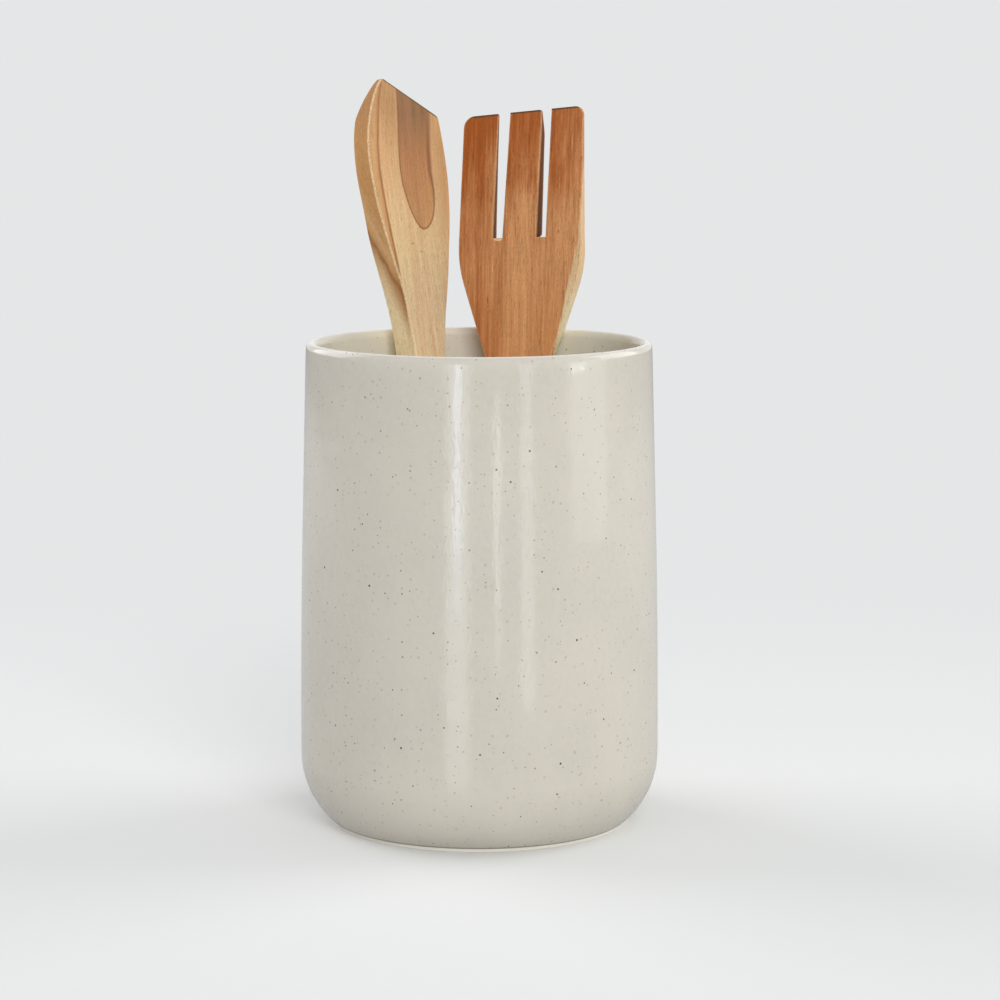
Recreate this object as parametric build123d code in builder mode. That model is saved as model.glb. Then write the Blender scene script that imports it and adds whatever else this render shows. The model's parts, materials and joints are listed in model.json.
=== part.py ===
"""A glazed stoneware utensil crock with a wooden spatula and a three-tine wooden fork standing in it.

Units are millimetres. Z is up, and the origin is on the crock's axis at the surface that it stands on.
The front of the crock faces -Y, and both tools lean back against the inside of the rim.
"""

import os
from math import cos, radians, sin, sqrt

from build123d import *

# Crock wall and floor
crock_height = 190.0
rim_radius = 67.55  # outside of the wall, carried up to the full height
belly_radius = 70.65
belly_height = 27.0  # the widest level, where the wall is upright
taper_height = 120.0  # above this the wall draws in along a straight line
wall_thickness = 4.3
floor_thickness = 5.2

lip_round_outside = 1.9  # the inside of the lip takes the rest of the wall, in a wider curve

# Crock foot
foot_radius = 58.6
foot_width = 4.2
foot_height = 1.7
foot_overhang = 0.8  # how far the glazed body stands out past the bare foot ring
foot_edge_break = 0.4  # the small flat that takes the sharpness off the ring's edges
well_depth = 2.4  # the hollow under the floor, inside the foot ring
well_slope = 1.4  # the slanted corner where the ring meets the hollow

# Fit of the tools in the crock
floor_gap = 0.3
rim_gap = 0.45  # level with the lip's inner edge; a tool's lean and flare leave about 0.3 of it

# Handles of both tools
handle_foot_width = 14.6
handle_foot_thickness = 9.8
handle_swell_width = 17.6
handle_swell_thickness = 11.0
handle_swell_height = 64.0
handle_side_round = 4.7
handle_end_round = 3.6
arris_round = 0.5  # what sandpaper takes off the long edges of a tool's head

# Spatula stance: how far its face is turned from the front towards +X, and where it stands and leans
spatula_turn = 50.0
spatula_foot_x = -8.4
spatula_foot_y = 37.0
spatula_rim_x = -24.7

# Spatula outline: sides across from the tool's middle, rises along it from one named point to the next
spatula_neck_width = 15.0
spatula_neck_height = 152.0  # from the foot
left_waist = 12.2
left_waist_rise = 47.0
left_shoulder = 20.2
left_shoulder_rise = 26.3
left_blade = 25.2
left_blade_rise = 30.7
tip_left = 13.6
tip_rise = 29.0
tip_round = 2.5
right_waist = 10.4
right_waist_rise = 27.0
right_shoulder = 17.2
right_shoulder_rise = 32.0
right_blade = 21.1
right_blade_rise = 29.0
corner_right = 18.2
corner_drop = 16.6  # how far the slanted end falls from its tip to its right corner
corner_round = 3.0

# Spatula thickness: a flat face, a back that is cut away to the blade, and a bevelled end
spatula_neck_thickness = 11.2
spatula_blade_thickness = 7.8
spatula_edge_thickness = 2.6
cutaway_rise = 51.0  # from the neck to where the back starts to be cut away
cutaway_length = 32.0  # from there to the level where the back lies at this depth:
cutaway_back = 3.6
bevel_length = 18.0

# Fork stance
fork_turn = -12.5
fork_foot_x = 13.6
fork_foot_y = 35.5
fork_rim_x = 16.9

# Fork outline: even about the tool's middle, apart from the slant of its top edge
fork_neck_width = 17.0
fork_neck_height = 138.0  # from the foot
throat_rise = 18.0
throat_round = 60.0
fork_head_width = 50.9
fork_shoulder_rise = 52.6
fork_shoulder_round = 50.0
fork_top_width = 49.2
fork_head_rise = 62.3
fork_top_slant = 2.5  # how much higher the right end of the top edge is than its middle
fork_left_round = 5.4
fork_right_round = 3.4
tine_gap = 3.9  # at the tine roots
tine_pitch = 17.8
gap_offset = 0.45  # how far to the left of the fork's middle the middle tine stands
gap_lean = 1.0  # how far to the right both gaps have run by the level of the tips
left_gap_flare = 0.9  # how much wider the left gap is by then
tine_length = 51.3
right_gap_rise = 0.7  # how much higher the right gap's root is than the left one's
middle_tine_round = 1.8

# Fork thickness: front and back are measured from the tool's middle
fork_neck_thickness = 12.4
carve_rise = 28.0  # from the throat to where the front and back start to be carved away
carve_length = 40.0  # from there to the level where these two depths are reached
carve_front = 4.9
carve_back = 2.7
fork_tip_front = 2.2
fork_tip_thickness = 2.0

overrun = 5.0  # how far a cutting or crossing shape reaches past what it cuts

# Sizes that follow from the ones above
lip_round_inside = wall_thickness - lip_round_outside
taper_share = (taper_height - belly_height) / (2 * (crock_height - taper_height))
taper_radius = (belly_radius + taper_share * rim_radius) / (1 + taper_share)
taper_slope = (taper_radius - rim_radius) / (crock_height - taper_height)
floor_height = well_depth + floor_thickness
lip_seat_height = crock_height - lip_round_inside
lip_seat_radius = rim_radius - wall_thickness + taper_slope * lip_round_inside
rim_level = lip_seat_height - floor_height  # how far up a tool the rim crosses it
left_waist_height = spatula_neck_height + left_waist_rise
left_shoulder_height = left_waist_height + left_shoulder_rise
left_blade_height = left_shoulder_height + left_blade_rise
tip_height = left_blade_height + tip_rise
right_waist_height = spatula_neck_height + right_waist_rise
right_shoulder_height = right_waist_height + right_shoulder_rise
right_blade_height = right_shoulder_height + right_blade_rise
corner_height = tip_height - corner_drop
cutaway_start = spatula_neck_height + cutaway_rise
cutaway_end = cutaway_start + cutaway_length
throat_height = fork_neck_height + throat_rise
fork_shoulder_height = throat_height + fork_shoulder_rise
fork_top_height = fork_shoulder_height + fork_head_rise
tine_root_height = fork_top_height - tine_length
carve_start = throat_height + carve_rise
carve_level = carve_start + carve_length
tool_reach = fork_head_width + left_blade + right_blade  # longer than any tool is wide


def side_at(height, low, high):
    """How far out a straight side lies at a height, between two points that it passes."""
    share = (height - low[1]) / (high[1] - low[1])
    return low[0] + share * (high[0] - low[0])


def seat_at_rim(x, turn, side, back):
    """Where a tool's middle lies, level with the lip's inner edge, when its back corner meets the wall.

    The corner is followed by the middle of its rounding."""
    inset_side = side - arris_round
    inset_back = back - arris_round
    corner_x = inset_side * cos(radians(turn)) - inset_back * sin(radians(turn))
    corner_y = inset_side * sin(radians(turn)) + inset_back * cos(radians(turn))
    wall_y = sqrt((lip_seat_radius - rim_gap - arris_round) ** 2 - (x + corner_x) ** 2)
    return Vector(x, wall_y - corner_y, lip_seat_height)


def standing_planes(x, y, rim, turn):
    """Section, face and side planes of a tool that stands on the floor near x, y and leans at the rim.

    All three start at the middle of its foot. Across the face X runs to its right and Y up its length;
    across the side X runs to its front. The foot is raised so that its lowest edge clears the floor."""
    near = Vector(x, y, floor_height + floor_gap)
    up = (rim - near).normalized()
    across = up.cross(Vector(sin(radians(turn)), -cos(radians(turn)))).normalized()
    front = across.cross(up)
    flat_across = handle_foot_width / 2 - handle_end_round
    flat_deep = handle_foot_thickness / 2 - handle_end_round
    rise = flat_across * abs(across.Z) + flat_deep * abs(front.Z) + handle_end_round * (1 - up.Z)
    foot = rim - up * ((rim.Z - near.Z - rise) / up.Z)
    section = Plane(origin=foot, x_dir=across, z_dir=up)
    face = Plane(origin=foot, x_dir=across, z_dir=front)
    side = Plane(origin=foot, x_dir=front, z_dir=across * -1)
    return section, face, side


def handle(section, neck_height, neck_width, neck_thickness):
    """Loft a handle from its rounded end, through its swell, to the squared neck of a tool."""
    with BuildPart() as grip:
        with BuildSketch(section):
            RectangleRounded(handle_foot_width, handle_foot_thickness, handle_side_round)
        with BuildSketch(section.offset(handle_swell_height)):
            RectangleRounded(handle_swell_width, handle_swell_thickness, handle_side_round)
        with BuildSketch(section.offset(neck_height)):
            RectangleRounded(neck_width, neck_thickness, arris_round)
        loft(ruled=True)
        end = grip.faces().sort_by(Axis(section.origin, section.z_dir))[0]
        fillet(end.edges(), handle_end_round)
    return grip.part


os.makedirs("parts", exist_ok=True)

# Crock: one fired piece, its half profile turned about the axis
outer_belly = (belly_radius, belly_height)
outer_taper = (taper_radius, taper_height)
outer_lip = (rim_radius + taper_slope * lip_round_outside, crock_height - lip_round_outside)
inner_belly = (belly_radius - wall_thickness, belly_height)
inner_taper = (taper_radius - wall_thickness, taper_height)
inner_lip = (lip_seat_radius, lip_seat_height)
crest = (rim_radius - lip_round_outside, crock_height)
inner_corner_round = belly_height - floor_height
floor_edge = (inner_belly[0] - inner_corner_round, floor_height)
body_foot = (foot_radius + foot_overhang, foot_height)
well_corner = (foot_radius - foot_width, well_depth)

with BuildPart() as crock_body:
    with BuildSketch(Plane.XZ) as crock_profile:
        with BuildLine():
            Line((0, floor_height), floor_edge)
            RadiusArc(floor_edge, inner_belly, -inner_corner_round)
            TangentArc(inner_belly, inner_taper, tangent=(0, 1))
            Line(inner_taper, inner_lip)
            TangentArc(inner_lip, crest, tangent=(0, 1))
            TangentArc(outer_lip, crest, tangent=(0, 1))
            Line(outer_lip, outer_taper)
            TangentArc(outer_belly, outer_taper, tangent=(0, 1))
            TangentArc(outer_belly, body_foot, tangent=(0, -1))
            Polyline(
                body_foot,
                (foot_radius, foot_height),
                (foot_radius, 0),
                (well_corner[0], 0),
                well_corner,
                (0, well_depth),
                (0, floor_height),
            )
        make_face()
        chamfer(crock_profile.vertices().sort_by_distance(well_corner)[0], well_slope)
        chamfer(
            [
                crock_profile.vertices().sort_by_distance((foot_radius, 0))[0],
                crock_profile.vertices().sort_by_distance((well_corner[0], 0))[0],
            ],
            foot_edge_break,
        )
    revolve(axis=Axis.Z)
crock_body.part.label = "crock_body"
export_step(crock_body.part, "parts/crock_body.step")

# Spatula: a face outline crossed with a side profile, bevelled, with its handle lofted on below
spatula_right = ((right_waist, right_waist_height), (right_shoulder, right_shoulder_height))
spatula_rim_side = side_at(rim_level, *spatula_right)
spatula_rim = seat_at_rim(spatula_rim_x, spatula_turn, spatula_rim_side, spatula_neck_thickness / 2)
section, face, side = standing_planes(spatula_foot_x, spatula_foot_y, spatula_rim, spatula_turn)
neck_left = (-spatula_neck_width / 2, spatula_neck_height)
neck_right = (spatula_neck_width / 2, spatula_neck_height)
widest_left = (-left_blade, left_blade_height)
widest_right = (right_blade, right_blade_height)
tip = (-tip_left, tip_height)
corner = (corner_right, corner_height)
flat_face = spatula_neck_thickness / 2
blade_back = flat_face - spatula_blade_thickness
blade_top = tip_height + overrun
upright = ((0, 1), (0, 1))

with BuildPart() as spatula:
    with BuildSketch(face) as spatula_outline:
        with BuildLine():
            left_points = (
                neck_left,
                (-left_waist, left_waist_height),
                (-left_shoulder, left_shoulder_height),
                widest_left,
            )
            Spline(left_points, tangents=upright)
            TangentArc(widest_left, tip, tangent=(0, 1))
            Line(tip, corner)
            TangentArc(widest_right, corner, tangent=(0, 1))
            Spline(neck_right, *spatula_right, widest_right, tangents=upright)
            Line(neck_right, neck_left)
        make_face()
        fillet(spatula_outline.vertices().sort_by_distance(tip)[0], tip_round)
        fillet(spatula_outline.vertices().sort_by_distance(corner)[0], corner_round)
    extrude(amount=spatula_neck_thickness, both=True)
    with BuildSketch(side):
        with BuildLine():
            Polyline(
                (-flat_face, cutaway_start),
                (-flat_face, spatula_neck_height),
                (flat_face, spatula_neck_height),
                (flat_face, blade_top),
                (blade_back, blade_top),
            )
            back_points = (
                (-flat_face, cutaway_start),
                (-cutaway_back, cutaway_end),
                (blade_back, blade_top),
            )
            Spline(back_points, tangents=upright)
        make_face()
    extrude(amount=tool_reach, both=True, mode=Mode.INTERSECT)
    neck_face = spatula.faces().sort_by(Axis(section.origin, section.z_dir))[0]
    fillet(spatula.edges() - neck_face.edges(), arris_round)
    slant = (Vector(*tip) - Vector(*corner)).normalized()
    bevel_plane = Plane(
        origin=face.from_local_coords((*tip, 0)),
        x_dir=face.z_dir,
        z_dir=face.x_dir * slant.X + face.y_dir * slant.Y,
    )
    with BuildSketch(bevel_plane):
        with BuildLine():
            Polyline(
                (flat_face - spatula_edge_thickness, overrun),
                (flat_face - spatula_edge_thickness, 0),
                (blade_back, -bevel_length),
                (blade_back - overrun, -bevel_length),
                (blade_back - overrun, overrun),
                close=True,
            )
        make_face()
    extrude(amount=tool_reach, both=True, mode=Mode.SUBTRACT)
    add(handle(section, spatula_neck_height, spatula_neck_width, spatula_neck_thickness))
spatula.part.label = "spatula"
export_step(spatula.part, "parts/spatula.step")
print("spatula joint axis", section.z_dir, "foot", section.origin, "rim", spatula_rim)

# Fork: the same crossing of an outline and a profile, with two gaps sawn down to the tine roots
head_side = fork_head_width / 2
neck_side = fork_neck_width / 2
top_side = fork_top_width / 2
fork_rim_side = side_at(rim_level, (neck_side, throat_height), (head_side, fork_shoulder_height))
fork_rim = seat_at_rim(fork_rim_x, fork_turn, fork_rim_side, fork_neck_thickness / 2)
section, face, side = standing_planes(fork_foot_x, fork_foot_y, fork_rim, fork_turn)
top_left = fork_top_height - fork_top_slant
top_right = fork_top_height + fork_top_slant
fork_corners = (
    (neck_side, throat_height),
    (head_side, fork_shoulder_height),
    (top_side, top_right),
    (-top_side, top_left),
    (-head_side, fork_shoulder_height),
    (-neck_side, throat_height),
)
fork_rounds = (
    throat_round,
    fork_shoulder_round,
    fork_right_round,
    fork_left_round,
    fork_shoulder_round,
    throat_round,
)
neck_depth = fork_neck_thickness / 2
profile_top = top_right + overrun
left_gap = -gap_offset - tine_pitch / 2
right_gap = -gap_offset + tine_pitch / 2
right_root_height = tine_root_height + right_gap_rise
gaps = ((left_gap, tine_root_height, left_gap_flare), (right_gap, right_root_height, 0))

with BuildPart() as fork:
    with BuildSketch(face) as fork_outline:
        with BuildLine():
            neck_ends = ((neck_side, fork_neck_height), (-neck_side, fork_neck_height))
            FilletPolyline(neck_ends[0], *fork_corners, neck_ends[1], radius=fork_rounds)
            Line(*neck_ends)
        make_face()
        for middle, root, flare in gaps:
            gap_left = middle - tine_gap / 2
            gap_right = middle + tine_gap / 2
            run_share = (profile_top - root) / (fork_top_height - root)
            with BuildLine():
                Polyline(
                    (gap_left + gap_lean * run_share, profile_top),
                    (gap_left, root),
                    (gap_right, root),
                    (gap_right + (gap_lean + flare) * run_share, profile_top),
                    close=True,
                )
            make_face(mode=Mode.SUBTRACT)
        middle_tine_left = left_gap + tine_gap / 2 + gap_lean + left_gap_flare
        middle_tine_corner = (middle_tine_left, fork_top_height)
        fillet(fork_outline.vertices().sort_by_distance(middle_tine_corner)[0], middle_tine_round)
    extrude(amount=fork_neck_thickness, both=True)
    with BuildSketch(side):
        with BuildLine():
            back_end = (fork_tip_front - fork_tip_thickness, profile_top)
            front_end = (fork_tip_front, profile_top)
            Polyline(
                (-neck_depth, carve_start),
                (-neck_depth, fork_neck_height),
                (neck_depth, fork_neck_height),
                (neck_depth, carve_start),
            )
            Spline((neck_depth, carve_start), (carve_front, carve_level), front_end, tangents=upright)
            Line(front_end, back_end)
            Spline((-neck_depth, carve_start), (-carve_back, carve_level), back_end, tangents=upright)
        make_face()
    extrude(amount=tool_reach, both=True, mode=Mode.INTERSECT)
    neck_face = fork.faces().sort_by(Axis(section.origin, section.z_dir))[0]
    fillet(fork.edges() - neck_face.edges(), arris_round)
    add(handle(section, fork_neck_height, fork_neck_width, fork_neck_thickness))
fork.part.label = "fork"
export_step(fork.part, "parts/fork.step")
print("fork joint axis", section.z_dir, "foot", section.origin, "rim", fork_rim)
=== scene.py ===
# %% [markdown]
# # A speckled crock with a wooden spatula and a wooden fork
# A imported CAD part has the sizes, the joints and the collision shapes. This lesson gives it its looks: each
# solid gets a finer surface in the same place, which takes its picture and moves with the same body.
# Loading the frame comes first, because every surface below is placed against it.

# %% Load the frame
import json
import math

import bpy
import numpy as np
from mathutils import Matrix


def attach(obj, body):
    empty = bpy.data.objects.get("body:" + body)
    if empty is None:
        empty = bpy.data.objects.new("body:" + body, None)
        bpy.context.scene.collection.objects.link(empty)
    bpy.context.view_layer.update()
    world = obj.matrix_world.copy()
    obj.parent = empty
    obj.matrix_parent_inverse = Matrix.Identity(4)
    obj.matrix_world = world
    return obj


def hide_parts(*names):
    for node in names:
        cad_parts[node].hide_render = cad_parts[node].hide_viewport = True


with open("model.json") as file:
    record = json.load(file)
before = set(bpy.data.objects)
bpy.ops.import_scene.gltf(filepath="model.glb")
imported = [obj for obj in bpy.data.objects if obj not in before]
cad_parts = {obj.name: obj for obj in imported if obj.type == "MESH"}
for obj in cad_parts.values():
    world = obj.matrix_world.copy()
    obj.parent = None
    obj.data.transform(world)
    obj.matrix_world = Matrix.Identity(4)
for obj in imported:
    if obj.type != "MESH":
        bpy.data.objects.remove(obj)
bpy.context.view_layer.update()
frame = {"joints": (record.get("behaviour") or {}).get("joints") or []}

MM = 0.001

# %% [markdown]
# ## From arrays to a mesh
# Every piece is worked out as an array of points and an array of faces. A mesh could be built face by face
# with bmesh, but whole arrays are faster and the formulas stay readable. The volume's sign tells whether the
# faces point outwards, and they are turned round together if they don't.


# %% A helper that puts arrays into a mesh
def make_piece(name, points, faces, body, cad_node, crease=math.radians(38)):
    """A smooth-shaded object from points in millimetres, with a face's corners in each row of faces.

    A corner repeated in a row makes a triangle of it. The signed volume, a sum over triangles of
    a . (b x c) / 6, is positive when the faces point outwards."""
    a, b, c, d = (points[faces[:, k]] for k in range(4))
    volume = (np.einsum("ij,ij->", a, np.cross(b, c)) + np.einsum("ij,ij->", a, np.cross(c, d))) / 6
    if volume < 0:
        faces = faces[:, ::-1]
    rows = [list(dict.fromkeys(row)) for row in faces.tolist()]
    mesh = bpy.data.meshes.new(name)
    mesh.from_pydata((points * MM).tolist(), [], rows)
    mesh.validate()
    mesh.polygons.foreach_set("use_smooth", np.ones(len(mesh.polygons), bool))
    mesh.set_sharp_from_angle(angle=crease)
    piece = bpy.data.objects.new(name, mesh)
    bpy.context.scene.collection.objects.link(piece)
    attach(piece, body)
    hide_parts(cad_node)
    print(name, len(points), "points", len(rows), "faces", round(abs(volume) / 1000, 1), "cm3")
    return piece


def store(piece, name, values):
    """Keep one number, or one triple, for each point of a piece, for its material to read."""
    kind, field = ("FLOAT", "value") if values.ndim == 1 else ("FLOAT_VECTOR", "vector")
    attribute = piece.data.attributes.new(name, kind, "POINT")
    attribute.data.foreach_set(field, values.astype(np.float32).ravel())


# %% [markdown]
# ## The crock
# The crock is one fired piece: a straight wall that swells a little towards a full round corner, a narrow
# unglazed foot ring, and a lip rounded over by a sponge. A lathe shape is a profile turned about an axis, so
# the profile is written as short runs of lines and arcs, and sines turn it round. Spin would do the same,
# but here the hand's small wobble can be added to the radius as a formula.


# %% Runs of a profile
def line(start, end, count):
    """Evenly spaced points from start towards end, without the end."""
    share = np.linspace(0, 1, count, endpoint=False)[:, None]
    return np.array(start, float) + share * (np.array(end, float) - np.array(start, float))


def arc(centre, reach, start, end, count):
    """Points centre + reach * (cos, sin) of an angle from start towards end in degrees, without the end."""
    angle = np.radians(np.linspace(start, end, count, endpoint=False))[:, None]
    return np.array(centre, float) + np.array(reach, float) * np.hstack([np.cos(angle), np.sin(angle)])


def wall(start, end, count, inset):
    """The wall between two heights: a parabola from the belly, and a straight slope above the taper level."""
    z = np.linspace(start, end, count, endpoint=False)
    low = BELLY - SLOPE * (z - BELLY_LEVEL) ** 2 / (2 * (TAPER_LEVEL - BELLY_LEVEL))
    high = BELLY - SLOPE * (TAPER_LEVEL - BELLY_LEVEL) / 2 - SLOPE * (z - TAPER_LEVEL)
    return np.stack([np.where(z < TAPER_LEVEL, low, high) - inset, z], 1)


print("three points of a quarter circle", arc((0, 0), (1, 1), 0, 90, 3).round(2).tolist())

# %% [markdown]
# The measures are the real ones, in millimetres. The profile starts under the middle of the pot, goes round
# the foot ring, up the outside, over the lip and down the inside to the middle of the floor. The short runs
# at the ring are what catches the light there: the kiln-side edge, the groove and the rolled end of the glaze.

# %% The crock's profile
HEIGHT, BELLY, BELLY_LEVEL, TAPER_LEVEL, SLOPE, WALL = 190.0, 70.65, 27.0, 120.0, 0.02657, 4.3
FLOOR_LEVEL, WELL_LEVEL, WELL_ROUND = 7.6, 2.4, 1.4
RING_OUT, RING_IN, RING_EDGE, RING_TOP, GROOVE = 58.6, 54.4, 0.45, 1.3, 0.25
GLAZE_END, GLAZE_LEVEL, GLAZE_ROLL = 59.1, 1.98, 0.42
CORNER, CORNER_START = 34.0, -47.4
CREST, LIP_OUT, LIP_OUT_DEEP, LIP_IN_DEEP = 65.5, 2.1, 2.7, 3.3
well_edge, well_foot = RING_IN - WELL_ROUND, WELL_LEVEL - WELL_ROUND
inside_floor = BELLY - WALL - (BELLY_LEVEL - FLOOR_LEVEL)

foot = [
    line((0.0, WELL_LEVEL), (well_edge, WELL_LEVEL), 22),
    arc((well_edge, well_foot), (WELL_ROUND, WELL_ROUND), 90, 0, 6),
    line((RING_IN, well_foot), (RING_IN, RING_EDGE), 2),
    arc((RING_IN + RING_EDGE, RING_EDGE), (RING_EDGE, RING_EDGE), 180, 270, 5),
    line((RING_IN + RING_EDGE, 0.0), (RING_OUT - RING_EDGE, 0.0), 4),
    arc((RING_OUT - RING_EDGE, RING_EDGE), (RING_EDGE, RING_EDGE), 270, 360, 5),
    line((RING_OUT, RING_EDGE), (RING_OUT, RING_TOP), 3),
    arc((RING_OUT + GROOVE, RING_TOP), (GROOVE, GROOVE), 180, 90, 4),
    line((RING_OUT + GROOVE, RING_TOP + GROOVE), (GLAZE_END, GLAZE_LEVEL - GLAZE_ROLL), 2),
]
outside = [
    arc((GLAZE_END, GLAZE_LEVEL), (GLAZE_ROLL, GLAZE_ROLL), 270, 318, 4),
    arc((BELLY - CORNER, BELLY_LEVEL), (CORNER, CORNER), CORNER_START, 0, 40),
    wall(BELLY_LEVEL, TAPER_LEVEL, 30, 0.0),
    wall(TAPER_LEVEL, HEIGHT - LIP_OUT_DEEP, 22, 0.0),
    arc((CREST, HEIGHT - LIP_OUT_DEEP), (LIP_OUT, LIP_OUT_DEEP), 0, 90, 12),
]
inner_lip = wall(HEIGHT - LIP_IN_DEEP, HEIGHT, 1, WALL)[0]
inside = [
    arc((CREST, HEIGHT - LIP_IN_DEEP), (CREST - inner_lip[0], LIP_IN_DEEP), 90, 180, 14),
    wall(HEIGHT - LIP_IN_DEEP, TAPER_LEVEL, 20, WALL),
    wall(TAPER_LEVEL, BELLY_LEVEL, 22, WALL),
    arc((inside_floor, BELLY_LEVEL), (BELLY_LEVEL - FLOOR_LEVEL,) * 2, 0, -90, 20),
    line((inside_floor, FLOOR_LEVEL), (0.0, FLOOR_LEVEL), 20),
    np.array([[0.0, FLOOR_LEVEL]]),
]
profile = np.vstack(foot + outside + inside)
print("crock profile", len(profile), "points, widest", profile[:, 0].max().round(2), "mm")


# %% [markdown]
# A thrown or jiggered wall is never quite round. Two and three slow waves round the pot, and faint rings left
# by the finishing tool, are each a few hundredths of a millimetre: too little to see as a shape, but enough
# to make the reflections waver as they do on the real glaze.

# %% Turn the profile into the crock
AROUND = 264
turn = np.linspace(0, 2 * np.pi, AROUND, endpoint=False)
radius, level = profile[1:-1, :1], profile[1:-1, 1:]
share_up = level / HEIGHT
wobble = 0.07 * np.cos(2 * turn + 0.6) + 0.04 * np.cos(3 * turn - 2.0 * share_up)
rings = (0.022 * np.sin(2 * np.pi * level / 9.5 + 0.8 * np.sin(turn))
         + 0.012 * np.sin(2 * np.pi * level / 4.1))
grow = np.clip(share_up * 6, 0, 1) * np.clip(radius / 60, 0, 1)
swung = radius + grow * (wobble + rings)
crock_points = np.stack([swung * np.cos(turn), swung * np.sin(turn), level + 0 * turn], -1).reshape(-1, 3)
crock_points = np.vstack([crock_points, [[0, 0, WELL_LEVEL], [0, 0, FLOOR_LEVEL]]])

rows = len(radius)
index = np.arange(rows * AROUND).reshape(rows, AROUND)
beside = np.roll(index, -1, axis=1)
bands = np.stack([index[:-1], beside[:-1], beside[1:], index[1:]], -1).reshape(-1, 4)
under, floor_middle = rows * AROUND, rows * AROUND + 1
under_fan = np.stack([np.full(AROUND, under), beside[0], index[0], index[0]], -1)
floor_fan = np.stack([np.full(AROUND, floor_middle), index[-1], beside[-1], beside[-1]], -1)
crock = make_piece("crock", crock_points, np.vstack([bands, under_fan, floor_fan]), "crock", "crock_body",
                   math.radians(50))

# %% [markdown]
# The potter wipes the ring bare where it touches the kiln shelf. Above it the glaze ends in a groove, which
# gets painted shade along with the glaze's own darker edge. The lip's crest gets a painted highlight, a pale
# line where the glaze also thins, and the inside is painted paler, as light that falls into the pot. A material
# can't know where these places are, so each gets an attribute: one number a point, 0 to 1, worked out from
# the profile's rows.

# %% Where the glaze changes, and where light and shade are painted
BARE_LEVEL, GROOVE_SHADE_LEVEL, GROOVE_SHADE_HALF, LIP_HIGHLIGHT_DEPTH = 1.62, 1.75, 0.45, 0.55


def store_rows(name, along_profile, on_floor=0.0):
    """Keep one number for each point of the profile, all the way round, and for the two middle points."""
    store(crock, name, np.append(np.broadcast_to(along_profile, (rows, AROUND)).ravel(), [0.0, on_floor]))


store_rows("bare_clay", np.clip((BARE_LEVEL - level) / 0.1, 0, 1) * (radius > RING_IN - 1.2))
# Painted light: the inside is made paler, for light that falls into the pot.
store_rows("inside", (np.arange(rows) > np.argmax(level)).astype(float)[:, None], on_floor=1.0)
# Painted shade: the groove above the ring, together with the glaze's own darker edge there.
store_rows("groove", np.clip(1 - np.abs(level - GROOVE_SHADE_LEVEL) / GROOVE_SHADE_HALF, 0, 1) * (radius > RING_OUT - 0.1))
# Painted highlight: a pale line along the lip's crest, where the glaze also thins.
store_rows("lip", np.clip((level - (HEIGHT - LIP_HIGHLIGHT_DEPTH)) / 0.4, 0, 1))
print("rows of bare clay", int((level < BARE_LEVEL).sum()), "of", rows)

# %% [markdown]
# ## Both tools: two sheets and the walls between them
# Each tool was sawn from a board along an outline, thinned from the front and the back, and sanded. It could
# be cut with Boolean modifiers, but those leave long thin faces. Here a grid of lines lies on the board:
# each line runs straight across from the left side of the outline to the right side. The same grid gives the
# front sheet and the back sheet, and a wall joins them along every cut edge.


# %% Distance to the cut edges
def edge_distance(spots, start, end):
    """For each spot, the least of |spot - nearest point of the segment| over segments from start to end.

    The segments are taken 64 at a time, which keeps the arrays small."""
    run, batch = end - start, 64
    best = np.full(len(spots), np.inf)
    for first in range(0, len(start), batch):
        a, r = start[first:first + batch], run[first:first + batch]
        rel = spots[:, None] - a
        share = np.clip((rel * r).sum(-1) / np.maximum((r * r).sum(-1), 1e-12), 0, 1)
        best = np.minimum(best, np.sqrt(((rel - share[..., None] * r) ** 2).sum(-1)).min(1))
    return best


def rounding_drop(distance, radius):
    """How far a rounded arris lies below the flat at a distance from the cut: r - sqrt(r^2 - (r - d)^2)."""
    short = np.clip(radius - distance, 0, radius)
    return radius - np.sqrt(np.maximum(radius ** 2 - short ** 2, 0))


print("a 1 mm rounding at 0, 0.5 and 1 mm drops by", rounding_drop(np.array([0.0, 0.5, 1.0]), 1.0).round(2))

# %% [markdown]
# The walls are found from the grid itself. A cell of the grid is either wood or cut away, and wherever a
# wood cell lies beside a cell that isn't, the two sheets are joined along the line between them.


# %% Edges of the wood
def cut_edges(wood):
    """The grid points at the start and end of each edge that has wood on one side only, wood on its left."""
    ids = np.arange((wood.shape[0] + 1) * (wood.shape[1] + 1)).reshape(wood.shape[0] + 1, -1)
    around = np.pad(wood, 1)
    edges = [
        (around[1:-1, 1:] & ~around[1:-1, :-1], ids[1:], ids[:-1]),
        (~around[1:-1, 1:] & around[1:-1, :-1], ids[:-1], ids[1:]),
        (around[1:, 1:-1] & ~around[:-1, 1:-1], ids[:, :-1], ids[:, 1:]),
        (~around[1:, 1:-1] & around[:-1, 1:-1], ids[:, 1:], ids[:, :-1]),
    ]
    return (np.concatenate([a[where] for where, a, b in edges]),
            np.concatenate([b[where] for where, a, b in edges]))


def cut_distance(spots, wood):
    """Distance of each grid point to the nearest cut edge, without the handle's end, the first line."""
    start, end = cut_edges(wood)
    above_end = np.maximum(start, end) > wood.shape[1]
    return edge_distance(spots, spots[start[above_end]], spots[end[above_end]])


print("edges round one cell", len(cut_edges(np.ones((1, 1), bool))[0]))
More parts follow.
